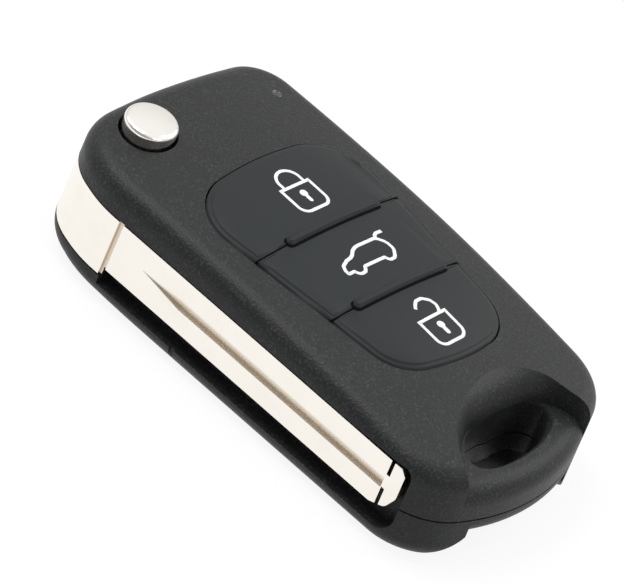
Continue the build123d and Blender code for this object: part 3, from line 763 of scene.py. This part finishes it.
@dataclass
class Print:
    """Raised print on a remote key, built stroke by stroke."""

    name: str
    body: str  # that it rides on
    middle: float  # where the key's top touches the roof's arc
    shift: Pair = (0.405, -0.61)  # how far the drawn sign is moved
    lift: float = 0.03  # height of the ink over the key
    trace: float = 0.004  # how much higher each form lies than the last
    sink: float = 0.06  # how far the ink reaches into the key
    mitre: float = 0.5  # least cosine of half a turn
    fine: float = 0.08  # longest step round a blot
    points: list[Array] = field(default_factory=list)  # of each form
    faces: list[Array] = field(default_factory=list)  # of each form
    count: int = 0  # points so far

    def _add(self, points: Array, *faces: Array) -> None:
        """Adds one closed form to the print.

        Args:
            points: its points.
            faces: groups of its faces.
        """
        self.points.append(points)
        self.faces += [group + self.count for group in faces]
        self.count += len(points)

    def _levels(self, flat: Array) -> tuple[Array, Array]:
        """Levels of the ink over a flat outline, each form a trace over the last.

        Args:
            flat: the outline, in millimetres from the drawing datum.

        Returns:
            Top and bottom points.
        """
        x, y = flat[:, 0] + self.shift[0], flat[:, 1] + self.shift[1]
        height = CROWN.height(x, y, self.middle)
        top = CROWN.place(x, y, height + self.lift + self.trace * len(self.points))
        low = CROWN.place(x, y, height - self.sink)
        return top, low

    def stroke(self, path: Array, width: float, closed: bool = False) -> None:
        """Ribbon of ink along a path.

        Each point moves half the width to both sides along the mitre of its two runs.

        Args:
            path: centre line, in millimetres from the drawing datum.
            width: width of the stroke.
            closed: whether it runs back to its start.
        """
        line = densify(path, closed)
        ahead = np.roll(line, -1, axis=0) - line
        if not closed:
            ahead[-1] = ahead[-2]
        ahead = unit(ahead)
        behind = np.roll(ahead, 1, axis=0)
        if not closed:
            behind[0] = ahead[0]
        side = unit(left_of(ahead + behind))
        stretch = 1.0 / np.clip((side * left_of(ahead)).sum(axis=1), self.mitre, 1.0)
        offset = side * (stretch * width / 2)[:, None]
        left_top, left_low = self._levels(line + offset)
        right_top, right_low = self._levels(line - offset)
        points = np.concatenate([left_top, right_top, right_low, left_low])
        self._add(points, section_faces(len(line), closed))

    def blot(self, outline: Array) -> None:
        """Filled form of ink inside an outline that its middle sees whole.

        Args:
            outline: points round it, anticlockwise, in millimetres from the drawing datum.
        """
        rim = densify(outline, True, self.fine)
        count = len(rim)
        top, low = self._levels(np.vstack([rim, rim.mean(axis=0)]))
        here, there = around(count)
        under = count + 1
        self._add(
            np.concatenate([top, low]),
            faces_of(here, there, count),
            faces_of(there + under, here + under, count + under),
            faces_of(here, here + under, there + under, there),
        )

    def keyhole(self, x: float, y: float, radius: float, end: float, half: float) -> None:
        """Keyhole: round eye and a bar that leaves it along +X.

        Args:
            x: eye's middle along the key.
            y: eye's middle across it.
            radius: eye's radius.
            end: where the bar ends.
            half: half of the bar's width.
        """
        self.blot(ellipse_path(x, y, radius, radius, 0, 360)[:-1])
        self.stroke(np.array([[x, y], [end - half, y]]), 2 * half)
        self.blot(ellipse_path(end - half, y, half, half, 0, 360)[:-1])

    def build(self) -> None:
        """Makes the mesh, inks it and seats it on its body."""
        mesh = faced(self.name, np.concatenate(self.points), self.faces)
        piece = dressed(mesh, Finish.INK)
        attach(piece, self.body)


class Surface:
    """Points and faces of a key's mesh as arrays, in millimetres from the drawing datum."""

    FLAT: ClassVar[float] = 0.95  # upright share of a normal over which a face is level
    STEEP: ClassVar[float] = 0.4  # upright share under which it is a wall
    SKIN: ClassVar[float] = 0.1  # depth of the level faces that are the key's top
    EDGE: ClassVar[float] = 0.7  # depth of the sloping faces that are its edge

    def __init__(self, mesh: Mesh, middle: float) -> None:
        """Reads a mesh and marks its top and its sloping edge.

        Args:
            mesh: the mesh, all of whose points lie in the model's frame.
            middle: where this key's top touches the roof's arc.
        """
        self.mesh, self.middle = mesh, middle
        self.datum = np.array([*CROWN.centre, 0.0])
        self.points = self._read(mesh.vertices, "co") / MM - self.datum
        self.normals = self._read(mesh.polygons, "normal")
        self.centres = self._read(mesh.polygons, "center") / MM - self.datum
        self.corners = np.empty(len(mesh.loops), np.int32)
        mesh.loops.foreach_get("vertex_index", self.corners)
        sides = np.empty(len(mesh.polygons), np.int32)
        mesh.polygons.foreach_get("loop_total", sides)
        self.owner = np.repeat(np.arange(len(sides)), sides)
        below, upright = self.depth(self.centres), self.normals[:, 2]
        self.top = (upright > self.FLAT) & (below < self.SKIN)
        self.slope = (upright > self.STEEP) & (upright < self.FLAT) & (below < self.EDGE)

    @staticmethod
    def _read(items: bpy_prop_collection, name: str) -> Array:
        """Reads vectors of a mesh's vertices or faces.

        Args:
            items: the vertices or faces.
            name: what is read of them.

        Returns:
            Vectors, one row each.
        """
        values = np.empty(len(items) * 3, np.float32)
        items.foreach_get(name, values)
        return values.reshape(-1, 3).astype(float)

    def depth(self, points: Array) -> Array:
        """How far points lie below the key's top."""
        return CROWN.height(points[:, 0], points[:, 1], self.middle) - points[:, 2]

    def touched(self, faces: Array) -> Array:
        """Which points belong to any of the marked faces."""
        return np.isin(np.arange(len(self.points)), self.corners[faces[self.owner]])

    def touching(self, points: Array) -> Array:
        """Which faces hold any of the marked points."""
        return np.isin(np.arange(len(self.normals)), self.owner[points[self.corners]])

    def outward(self, faces: Array) -> Array:
        """Level unit direction away from the key at each point.

        It is the mean of the normals of the marked faces round the point.

        Args:
            faces: the marked faces.

        Returns:
            Directions, one row for each point, and zero where no marked face is.
        """
        total = np.zeros((len(self.points), 2))
        used = faces[self.owner]
        np.add.at(total, self.corners[used], self.normals[self.owner[used], :2])
        length = np.linalg.norm(total, axis=1)
        return total / np.maximum(length, TINY)[:, None]

    def seat(self, which: Array, below: float) -> None:
        """Puts the marked points at a depth below the key's top."""
        x, y = self.points[which, 0], self.points[which, 1]
        self.points[which, 2] = CROWN.height(x, y, self.middle) - below

    def store(self) -> None:
        """Writes the points back."""
        points = ((self.points + self.datum) * MM).astype(np.float32)
        self.mesh.vertices.foreach_set("co", points.ravel())
        self.mesh.update()


@dataclass
class KeyCap:
    """Visible form of a remote key, made from a copy of its CAD mesh.

    A low rim runs round the key field's outline and the face rises from it in a soft step. Beside
    the slits and ridges the face runs on to an edge that is only broken.
    """

    node: str  # the CAD key
    body: str  # that it rides on
    middle: float  # where its top touches the roof's arc
    slits: tuple[float, ...] = (-6.05, 7.15)  # where they lie along X
    ridge: Pair = (-9.7, 12.0)  # where the ridges end along Y
    beside: float = 1.45  # how far from a slit its edges reach
    square: float = 0.85  # share of a level normal along X over which an edge is a slit's
    chamfer: float = 0.5  # width of the CAD key's edge
    broken: float = 0.12  # width of the edge beside the slits
    inset: float = 0.1  # how far the rim's outer edge stands back
    rise: float = 0.38  # its depth below the face
    steps: tuple[float, ...] = (0.12, 0.12, 0.2)  # widths of the rings inside the rim
    # depths of the rim's inner edge and of the rings'
    drops: tuple[float, ...] = (0.33, 0.31, 0.08)
    flush: float = 0.05  # depth down to which a point is on the face
    crease: float = 35.0  # degrees over which an edge stays sharp

    def _at_slit(self, surface: Surface) -> Array:
        """Finds the sloping faces beside a slit or a ridge.

        Args:
            surface: the key's mesh.

        Returns:
            Which faces they are.
        """
        across = np.abs(surface.centres[:, :1] - np.array(self.slits)).min(axis=1)
        level = np.linalg.norm(surface.normals[:, :2], axis=1).clip(TINY)
        squarely = np.abs(surface.normals[:, 0]) / level > self.square
        low, high = self.ridge
        inside = (surface.centres[:, 1] > low) & (surface.centres[:, 1] < high)
        return surface.slope & (across < self.beside) & (squarely | inside)

    def _narrow(self, mesh: Mesh) -> Array:
        """Moves the edges beside the slits outwards and the rim's outer edge in.

        Args:
            mesh: the key's mesh.

        Returns:
            Numbers of the top faces.
        """
        surface = Surface(mesh, self.middle)
        slit = self._at_slit(surface)
        rest = surface.slope & ~slit
        top, edge, rim = (surface.touched(faces) for faces in (surface.top, slit, rest))
        upper, outer = edge & top, rim & ~top
        surface.points[upper, :2] += surface.outward(slit)[upper] * (self.chamfer - self.broken)
        surface.seat(upper, 0.0)
        surface.seat(edge & ~top & ~rim, self.broken)
        surface.points[outer, :2] -= surface.outward(rest)[outer] * self.inset
        surface.seat(outer, self.rise)
        surface.store()
        return np.flatnonzero(surface.top)

    def _lower(self, mesh: Mesh) -> None:
        """Lowers the rim's inner edge and the rings after it, each found from the one before.

        Args:
            mesh: the key's mesh, with its rings.
        """
        surface = Surface(mesh, self.middle)
        crest = np.abs(surface.depth(surface.points)) < self.flush
        done = surface.touched(surface.slope)
        ring = surface.touched(surface.slope & ~self._at_slit(surface)) & crest
        for drop in self.drops:
            further = surface.touched(surface.touching(ring) & surface.top) & ~done
            surface.seat(ring, drop)
            done |= further
            ring = further
        surface.store()

    def build(self) -> None:
        """Makes the cap, which stands for the CAD key."""
        mesh = merged(self.node, f"{self.node}_cap")
        numbers = self._narrow(mesh)
        work = bmesh.new()
        work.from_mesh(mesh)
        work.faces.ensure_lookup_table()
        face = [work.faces[number] for number in numbers]
        for width in self.steps:
            bmesh.ops.inset_region(
                work, faces=face, thickness=width * MM, use_even_offset=True, use_boundary=True
            )
        work.to_mesh(mesh)
        work.free()
        self._lower(mesh)
        smooth(mesh, self.crease)
        piece = dressed(mesh, Finish.KEYPAD)
        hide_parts(self.node)
        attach(piece, self.body)


@dataclass
class LensRing:
    """Turned rim and shallow dome of the light guide."""

    centre: Pair = (-29.4, 15.3)  # from the drawing datum
    # radius and height over the roof, from the outside in
    profile: tuple[Pair, ...] = (
        (0.80, -0.09), (0.78, 0.02), (0.70, 0.06), (0.60, 0.02), (0.54, -0.07), (0.40, -0.04),
        (0.22, -0.01), (0.0, 0.0),
    )
    sides: int = 48  # points round it

    def build(self) -> None:
        """Turns the profile about the upright at the lens.

        Each point lies over the roof, by the profile's height, at the profile's radius times the
        cosine and sine of its angle from the middle.
        """
        rings = np.array(self.profile)
        angle = np.linspace(0, 2 * math.pi, self.sides, endpoint=False)
        x = self.centre[0] + rings[:-1, :1] * np.cos(angle)
        y = self.centre[1] + rings[:-1, :1] * np.sin(angle)
        x, y = np.append(x.ravel(), self.centre[0]), np.append(y.ravel(), self.centre[1])
        height = np.append(np.repeat(rings[:-1, 1], self.sides), rings[-1, 1])
        points = CROWN.place(x, y, CROWN.roof(x, y) + height)
        here, there = around(self.sides)
        outer = np.arange(len(rings) - 2)[:, None] * self.sides
        inner = outer + self.sides
        bands = faces_of(here + outer, there + outer, there + inner, here + inner)
        lid = faces_of(here + inner[-1], there + inner[-1], len(points) - 1)
        mesh = faced("lens_ring", points, (bands, lid))
        smooth(mesh)
        piece = dressed(mesh, Finish.LENS)
        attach(piece, "fob")


@dataclass
class HoleCollar:
    """Wall of the ring hole where it runs on below the bar's underside."""

    # the hole's outline, from the drawing datum
    rim: tuple[Pair, ...] = (
        (27.9, 1.5), (28.05, 6.0), (28.9, 8.8), (30.5, 9.8), (32.0, 8.9), (33.2, 7.1), (34.4, 4.2),
        (35.1, 0.5), (35.3, -3.4), (34.9, -6.5), (34.0, -8.0), (32.6, -8.2), (30.9, -7.4),
        (29.3, -5.7), (28.2, -2.6),
    )
    wall: float = 0.8  # thickness, outwards from the hole
    bite: float = 0.02  # how far its upper edge stands into the bar
    lean: float = 0.9  # how far its lower edge stands in from the outline
    low: float = 1.2  # height of its lower edge
    high: float = 4.22  # height of its upper edge, just inside the bar
    fine: int = 6  # points on each step of the outline

    def _smooth(self) -> Array:
        """Closed curve through the outline.

        Each span is the cubic that leaves its start and reaches its end with half the step between
        the points on both sides.

        Returns:
            Points, one row each.
        """
        here = np.array(self.rim)
        after, before, beyond = (np.roll(here, shift, axis=0) for shift in (-1, 1, -2))
        t = (np.arange(self.fine) / self.fine)[:, None, None]
        leave, arrive = (after - before) / 2, (beyond - here) / 2
        curve = (
            (2 * t ** 3 - 3 * t ** 2 + 1) * here + (t ** 3 - 2 * t ** 2 + t) * leave
            + (3 * t ** 2 - 2 * t ** 3) * after + (t ** 3 - t ** 2) * arrive
        )
        return curve.transpose(1, 0, 2).reshape(-1, 2)

    def build(self) -> None:
        """Carries a four-cornered section round the hole.

        Each of its corners lies at its own distance from the outline, along the outline's normal.
        """
        line = self._smooth()
        away = unit(left_of(np.roll(line, -1, axis=0) - np.roll(line, 1, axis=0)))
        upper, lower = line + away * self.bite, line - away * self.lean
        corners = (
            (upper, self.high), (upper + away * self.wall, self.high),
            (lower + away * self.wall, self.low), (lower, self.low),
        )
        points = np.concatenate([
            CROWN.place(flat[:, 0], flat[:, 1], np.full(len(line), z)) for flat, z in corners
        ])
        mesh = faced("hole_collar", points, (section_faces(len(line), True),))
        piece = dressed(mesh, Finish.SHELL)
        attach(piece, "fob")


@dataclass
class PressedSpring:
    """Coil spring under the release button."""

    node: str = "pivot_spring"  # the CAD spring
    seam_shade: str = "release_press"  # slide that presses it
    travel: float = 0.0018  # how far that slide goes, in metres
    foot: float = 0.0082  # height of the end that stays, in metres
    crease: float = 50.0  # degrees over which an edge stays sharp

    def build(self) -> None:
        """Copies the CAD spring and stands for it."""
        low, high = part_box(self.node)
        mesh = merged(self.node, "pressed_spring")
        smooth(mesh, self.crease)
        piece = dressed(mesh, Finish.SPRING)
        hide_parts(self.node)
        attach(piece, "fob")
        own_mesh(piece)


Piece = Print | KeyCap | LensRing | HoleCollar | PressedSpring
Dressing = Mapping[Finish, Sequence[str]]


@dataclass
class Assembly:
    """Pieces that come off the bench together."""

    nodes: ClassVar[Dressing] = {}  # CAD nodes by finish

    def pieces(self) -> Sequence[Piece]:
        """New pieces beside the CAD nodes."""
        return ()

    def build(self) -> None:
        """Dresses the CAD nodes and builds the new pieces."""
        for finish, names in self.nodes.items():
            finish.dress_nodes(names)
        for piece in self.pieces():
            piece.build()
        log.info("%s done", type(self).__name__)


@dataclass
class Case(Assembly):
    """Grained shells with their cover, screws and light guide."""

    nodes: ClassVar[Dressing] = {
        Finish.SHELL: ("upper_shell", "lower_shell", "battery_cover"),
        Finish.LENS: ("led_window",),
        Finish.SCREW: ("case_screws",),
    }

    def pieces(self) -> Sequence[Piece]:
        """Rim of the light guide and wall of the ring hole."""
        return LensRing(), HoleCollar()


@dataclass
class FoldingBlade(Assembly):
    """Plated head with its blade, pin, button and spring."""

    nodes: ClassVar[Dressing] = {
        Finish.CHROME: ("release_button",),
        Finish.BLADE: ("blade_head", "key_blade", "blade_pin"),
    }

    def pieces(self) -> Sequence[Piece]:
        """Spring that the button presses."""
        return (PressedSpring(),)


@dataclass
class Electronics(Assembly):
    """Board with what is on it, tray, cell and contacts."""

    nodes: ClassVar[Dressing] = {
        Finish.BOARD: ("circuit_board",),
        Finish.SWITCH: ("lock_switch", "boot_switch", "unlock_switch"),
        Finish.CHIP: ("controller_chip", "radio_chip", "transponder"),
        Finish.CONTACT: ("crystal", "battery_contact_positive", "battery_contact_negative"),
        Finish.LENS: ("status_led",),
        Finish.CELL: ("coin_cell",),
        Finish.TRAY: ("electronics_tray",),
    }


@dataclass
class Keypad(Assembly):
    """Three remote keys, the frame between them and their printed signs."""

    nodes: ClassVar[Dressing] = {Finish.KEYPAD: ("keypad_frame",)}
    stroke: float = 0.5  # width of the padlocks' lines
    car_stroke: float = 0.53  # width of the car's lines
    open_stroke: float = 0.525  # width of the open shackle
    # where each key's top touches the roof's arc, by its body
    middles: ClassVar[Mapping[str, float]] = {"lock": -12.785, "boot": 0.55, "unlock": 14.285}

    def closed_padlock(self) -> Print:
        """Padlock with its shackle shut, on the first key.

        Returns:
            The print.
        """
        sign = Print("sign_lock", "lock", self.middles["lock"])
        case = [(-14.2, -1.0, 0), (-9.45, -1.0, 1.4), (-9.45, 4.72, 1.4), (-14.2, 4.72, 0)]
        sign.stroke(rounded_path(case, True), self.stroke, True)
        arc = ellipse_path(-15.25, 1.88, 1.9, 2.04, 90, 270)
        sign.stroke(np.vstack([[(-14.2, 3.92)], arc, [(-14.2, -0.16)]]), self.stroke)
        sign.keyhole(-12.5, 1.97, 0.62, -10.72, 0.31)
        return sign

    def hatchback(self) -> Print:
        """Side view of a car with its boot open, on the middle key.

        Returns:
            The print.
        """
        sign = Print("sign_boot", "boot", self.middles["boot"])
        outline = [
            (-1.5, 5.0, 0.5), (-1.5, 1.2, 2.0), (-1.25, 0.2, 1.5), (-0.3, -1.0, 1.2),
            (0.0, -2.9, 2.5), (0.75, -3.9, 0.9), (1.9, -3.9, 0.1), (1.9, -2.7, 0.1),
            (2.45, -2.55, 0.7), (2.85, -1.6, 0.9), (2.45, -0.95, 0.8), (1.86, -0.55, 0.2),
            (1.86, 3.75, 0.1), (2.35, 3.85, 0.5), (2.75, 4.7, 0.9), (2.3, 5.45, 0.9),
            (1.35, 6.25, 0.9), (0.5, 6.5, 2.0), (-0.9, 5.95, 1.6),
        ]
        sign.stroke(rounded_path(outline, True), self.car_stroke, True)
        flag = [(-1.4, 5.15, 0), (-2.15, 5.85, 0.6), (-2.15, 7.3, 0)]
        sign.stroke(rounded_path(flag, False), self.car_stroke)
        return sign

    def open_padlock(self) -> Print:
        """Padlock with its shackle swung open, on the last key.

        Returns:
            The print.
        """
        sign = Print("sign_unlock", "unlock", self.middles["unlock"])
        case = [(13.24, -1.1, 0), (18.0, -1.1, 1.4), (17.78, 4.4, 1.4), (13.02, 4.5, 0)]
        sign.stroke(rounded_path(case, True), self.stroke, True)
        bow = [
            (13.05, 3.35, 0), (12.2, 3.95, 1.5), (11.2, 4.1, 1.6), (10.25, 3.25, 2.0),
            (9.75, 2.1, 1.6), (10.3, 1.05, 2.0), (11.15, 0.3, 0),
        ]
        sign.stroke(rounded_path(bow, False), self.open_stroke)
        sign.keyhole(14.82, 1.8, 0.62, 16.65, 0.34)
        return sign

    def pieces(self) -> Sequence[Piece]:
        """Caps of the three keys, then their signs."""
        caps = [KeyCap(f"{body}_key", body, middle) for body, middle in self.middles.items()]
        return caps + [self.closed_padlock(), self.hatchback(), self.open_padlock()]


def towards(azimuth: float, elevation: float) -> Vector:
    """Direction away from the key; azimuth 0 is on the -Y side and 90 on the +X side."""
    a, e = math.radians(azimuth), math.radians(elevation)
    return Vector((math.sin(a) * math.cos(e), -math.cos(a) * math.cos(e), math.sin(e)))


@dataclass
class Softbox:
    """Square white area lamp aimed at the key."""

    name: str
    azimuth: float  # in degrees
    elevation: float  # in degrees
    distance: float  # from the key, in metres
    side: float  # its length
    level: float  # brightness of its face

    def build(self) -> None:
        """Makes the lamp; its power is its face's brightness times pi times its area."""
        lamp = bpy.data.lights.new(self.name, "AREA")
        lamp.shape, lamp.size = "SQUARE", self.side
        lamp.energy = self.level * math.pi * self.side ** 2
        made = link(self.name, lamp)
        away = towards(self.azimuth, self.elevation)
        made.location = away * self.distance
        made.rotation_euler = away.to_track_quat("Z", "Y").to_euler()
        log.info("lamp %s at %.0f, %.0f degrees", self.name, self.azimuth, self.elevation)


@dataclass
class Studio:
    """Pale floor, soft light, white surroundings and the camera."""

    azimuth: float = 27.8  # of the camera, in degrees
    elevation: float = 36.7
    roll: float = 23.6  # turn on the camera's axis
    scale: float = 7.407  # picture points per millimetre on the key
    # point of the key that lies at the picture point below, in millimetres
    target: tuple[float, float, float] = (2.935, -8.703, 17.36)
    at: Pair = (330.0, 300.0)  # from the picture's top left
    distance: float = 3.0  # of the camera, in metres
    picture: tuple[int, int] = (624, 584)  # width and height
    sensor: float = 36.0  # width, in millimetres
    clip: Pair = (0.1, 20.0)  # nearest and furthest that the camera sees
    reach: float = 6.0  # half the floor's width
    drop: float = 0.00003  # how far the floor lies below the rest
    paper: float = 0.66  # the floor's grey
    white: float = 1.12  # its own brightness where it is seen
    glow: float = 0.8  # share of that brightness
    fill: Colour = (0.28, 0.28, 0.29)  # the world's soft light
    horizon: Colour = (0.72, 0.71, 0.69)  # what gloss shows near the horizon
    sky: Pair = (0.1, 0.7)  # upright shares of a direction where that fades and ends
    front: Colour = (0.35, 0.35, 0.36)  # what gloss shows on the camera's side
    ahead: Pair = (0.2, 0.8)  # shares along -Y where that starts and is full
    lamps: tuple[Softbox, ...] = (
        Softbox("overhead", -68.0, 66.0, 0.70, 0.40, 4.9),
        Softbox("left", -80.0, 35.0, 0.80, 0.40, 1.0),
        Softbox("behind", 160.0, 42.0, 0.80, 0.55, 2.6),
        Softbox("front", 75.0, 35.0, 0.90, 0.45, 0.8),
    )

    def camera(self) -> None:
        """Long-lens camera at the picture's angle; its roll turns right and up about the view."""
        a, r = math.radians(self.azimuth), math.radians(self.roll)
        back = towards(self.azimuth, self.elevation)
        level = Vector((math.cos(a), math.sin(a), 0.0))
        tall = back.cross(level)
        right = level * math.cos(r) + tall * math.sin(r)
        up = tall * math.cos(r) - level * math.sin(r)
        wide, high = self.picture
        off_right = (wide / 2 - self.at[0]) / self.scale
        off_up = (self.at[1] - high / 2) / self.scale
        aim = (Vector(self.target) + right * off_right + up * off_up) * MM
        data = bpy.data.cameras.new("camera")
        data.sensor_width = self.sensor
        data.lens = self.sensor * self.distance / (wide / self.scale * MM)
        data.clip_start, data.clip_end = self.clip
        made = link("camera", data)
        turned = Matrix((right, up, back)).transposed().to_4x4()
        made.matrix_world = Matrix.Translation(aim + back * self.distance) @ turned
        bpy.context.scene.camera = made

    def floor(self) -> None:
        """Wide pale floor that looks white to the camera and keeps a soft shadow."""
        corners = np.array([[-1, -1, 0], [1, -1, 0], [1, 1, 0], [-1, 1, 0]]) * self.reach
        made = link("floor", faced("floor", corners - [0, 0, self.drop], (np.arange(4)[None],)))
        wiring = Wiring.material("floor_paper")
        paper = wiring.node("ShaderNodeBsdfDiffuse", None, {"Color": (self.paper,) * 3})
        values = {"Color": (1.0, 1.0, 1.0), "Strength": self.white}
        glow = wiring.node("ShaderNodeEmission", None, values)
        surface = wiring.swap(wiring.seen() * self.glow, paper, glow)
        wiring.node("ShaderNodeOutputMaterial", None, {"Surface": surface})
        made.data.materials.append(wiring.owner)

    def surroundings(self) -> None:
        """World that is white where it is seen and soft as light.

        In gloss it is greyer near the horizon and on the camera's side.
        """
        world = bpy.data.worlds.new("studio")
        bpy.context.scene.world = world
        wiring = Wiring(world)
        gloss = wiring.ray("Glossy")
        low = (1.0 - wiring.part(wiring.direction, "Z").rise(*self.sky)) * gloss
        front = (wiring.part(wiring.direction, "Y") * -1.0).rise(*self.ahead) * gloss
        tone = wiring.blend(front, wiring.blend(low, (1, 1, 1), self.horizon), self.front)
        bright = wiring.node("ShaderNodeBackground", None, {0: tone})
        soft = wiring.node("ShaderNodeBackground", None, {0: self.fill})
        surface = wiring.swap(wiring.seen(), soft, bright)
        wiring.node("ShaderNodeOutputWorld", None, {"Surface": surface})

    def build(self) -> None:
        """Builds the studio and sets the plain view transform."""
        self.camera()
        self.floor()
        self.surroundings()
        for lamp in self.lamps:
            lamp.build()
        bpy.context.scene.view_settings.view_transform = "Standard"


def main() -> None:
    """Dresses the key, prints its signs and sets the studio."""
    logging.basicConfig(level=logging.INFO, format="%(message)s")
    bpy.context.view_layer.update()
    Studio().build()
    for assembly in (Case(), FoldingBlade(), Electronics(), Keypad()):
        assembly.build()


if __name__ == "__main__":
    main()
